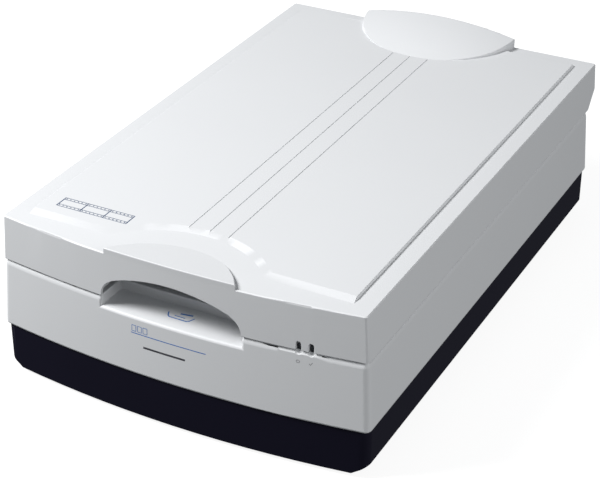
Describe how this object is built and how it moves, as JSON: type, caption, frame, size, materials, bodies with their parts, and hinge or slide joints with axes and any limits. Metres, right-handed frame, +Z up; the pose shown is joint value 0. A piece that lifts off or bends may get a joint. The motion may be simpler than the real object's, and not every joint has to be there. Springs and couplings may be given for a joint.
{
  "type": "flatbed scanner",
  "caption": "Large-format flatbed scanner with a film adapter in its lifting lid: a bowed light case over a dark tub, a finger recess, and a belt-driven scan head under the platen glass.",
  "frame": {"origin": "on the desk, under the middle of the closed case", "axes": "+X to the right of someone facing the front, +Y from the front to the rear hinges, +Z up"},
  "size_m": [0.387, 0.6003, 0.1881],
  "materials": {
    "shell_plastic": "fine-grained moulded plastic, cool light grey",
    "tub_plastic": "fine-grained moulded plastic, navy black",
    "platen_glass": "clear float glass",
    "diffuser": "opal acrylic",
    "white_foam": "closed-cell foam with a white face",
    "white_strip": "matt white film",
    "rubber": "matt moulded rubber",
    "dark_plastic": "black moulded plastic",
    "grey_plastic": "grey moulded plastic",
    "bright_steel": "ground steel",
    "sheet_steel": "zinc-plated sheet",
    "motor_can": "plated steel can",
    "brass": "turned bearing metal",
    "mirror": "front-silvered glass",
    "lamp_glass": "white lamp tube",
    "belt_rubber": "reinforced rubber belt",
    "gear_plastic": "natural acetal",
    "circuit_board": "green solder mask",
    "chip_plastic": "black moulded chips and cans",
    "light_pipe": "smoked light pipe"
  },
  "bodies": {
    "base": {"lower_housing": "tub_plastic", "upper_housing": "shell_plastic", "platen_glass": "platen_glass", "calibration_strip": "white_strip", "rubber_feet": "rubber", "case_screws": "bright_steel", "guide_rod": "bright_steel", "support_rail": "sheet_steel", "scan_motor": "motor_can", "motor_bracket": "sheet_steel", "drive_belt": "belt_rubber", "idler_bracket": "grey_plastic", "idler_spring": "bright_steel", "main_board": "circuit_board", "board_chips": "chip_plastic", "power_supply": "sheet_steel", "connector_plate": "sheet_steel", "power_inlet": "dark_plastic", "usb_socket": "bright_steel", "firewire_sockets": "bright_steel", "adapter_socket": "bright_steel", "switch_frame": "dark_plastic", "light_board": "circuit_board", "light_pipes": "light_pipe", "hinge_sockets": "grey_plastic"},
    "scan_head": {"head_frame": "dark_plastic", "head_cover": "dark_plastic", "lamp_reflector": "sheet_steel", "lamps": "lamp_glass", "optics_brackets": "dark_plastic", "first_mirror": "mirror", "second_mirror": "mirror", "lens_barrel": "dark_plastic", "lens_holder": "grey_plastic", "sensor_board": "circuit_board", "rod_bushes": "brass", "slide_shoe": "gear_plastic", "belt_clamp": "grey_plastic"},
    "motor_shaft": {"motor_pinion": "brass"},
    "belt_gear": {"belt_gear": "gear_plastic"},
    "idler": {"idler_pulley": "gear_plastic"},
    "rocker": {"power_rocker": "dark_plastic"},
    "lock": {"transport_lock": "grey_plastic"},
    "hinge_posts": {"hinge_posts": "grey_plastic", "hinge_pins": "bright_steel"},
    "lid": {"lid_cover": "shell_plastic", "lid_tray": "grey_plastic", "adapter_window": "diffuser", "white_mat": "white_foam", "adapter_rod": "bright_steel", "lid_screws": "bright_steel", "hinge_leaves": "sheet_steel", "adapter_motor": "motor_can", "adapter_belt": "belt_rubber"},
    "adapter_head": {"adapter_head": "dark_plastic", "adapter_lamp": "lamp_glass"},
    "adapter_pulley": {"adapter_pulley": "gear_plastic"},
    "adapter_idler": {"adapter_idler": "gear_plastic"}
  },
  "joints": [
    {"name": "lid_lift", "type": "slide", "parent": "base", "child": "hinge_posts", "axis": [0, 0, 1], "range_m": [0, 0.03]},
    {"name": "lid_hinge", "type": "hinge", "parent": "hinge_posts", "child": "lid", "pos_m": [0, 0.281, 0.134], "axis": [-1, 0, 0], "range_deg": [0, 85]},
    {"name": "scan_travel", "type": "slide", "parent": "base", "child": "scan_head", "axis": [0, 1, 0], "range_m": [0, 0.434]},
    {"name": "belt_gear_turn", "type": "hinge", "parent": "base", "child": "belt_gear", "pos_m": [-0.112, 0.238, 0.049], "axis": [0, 0, 1], "continuous": true},
    {"name": "motor_turn", "type": "hinge", "parent": "base", "child": "motor_shaft", "pos_m": [-0.08785, 0.238, 0.042], "axis": [0, 0, 1], "continuous": true},
    {"name": "idler_turn", "type": "hinge", "parent": "base", "child": "idler", "pos_m": [-0.112, -0.238, 0.049], "axis": [0, 0, 1], "continuous": true},
    {"name": "adapter_travel", "type": "slide", "parent": "lid", "child": "adapter_head", "axis": [0, 1, 0], "range_m": [0, 0.434]},
    {"name": "adapter_pulley_turn", "type": "hinge", "parent": "lid", "child": "adapter_pulley", "pos_m": [0.05, 0.262, 0.151], "axis": [0, 0, 1], "continuous": true},
    {"name": "adapter_idler_turn", "type": "hinge", "parent": "lid", "child": "adapter_idler", "pos_m": [0.05, -0.246, 0.151], "axis": [0, 0, 1], "continuous": true},
    {"name": "power_rocker_tilt", "type": "hinge", "parent": "base", "child": "rocker", "pos_m": [0.109, 0.2702, 0.029], "axis": [1, 0, 0], "range_deg": [0, 10]},
    {"name": "transport_lock_turn", "type": "hinge", "parent": "base", "child": "lock", "pos_m": [0.06, -0.2, 0.007], "axis": [0, 0, 1], "range_deg": [0, 90]}
  ],
  "couplings": [
    {"joint": "belt_gear_turn", "follows": "scan_travel", "rad_per_m": -114.94},
    {"joint": "idler_turn", "follows": "scan_travel", "rad_per_m": -114.94},
    {"joint": "motor_turn", "follows": "scan_travel", "rad_per_m": 459.77},
    {"joint": "adapter_pulley_turn", "follows": "adapter_travel", "rad_per_m": -114.94},
    {"joint": "adapter_idler_turn", "follows": "adapter_travel", "rad_per_m": -114.94}
  ]
}
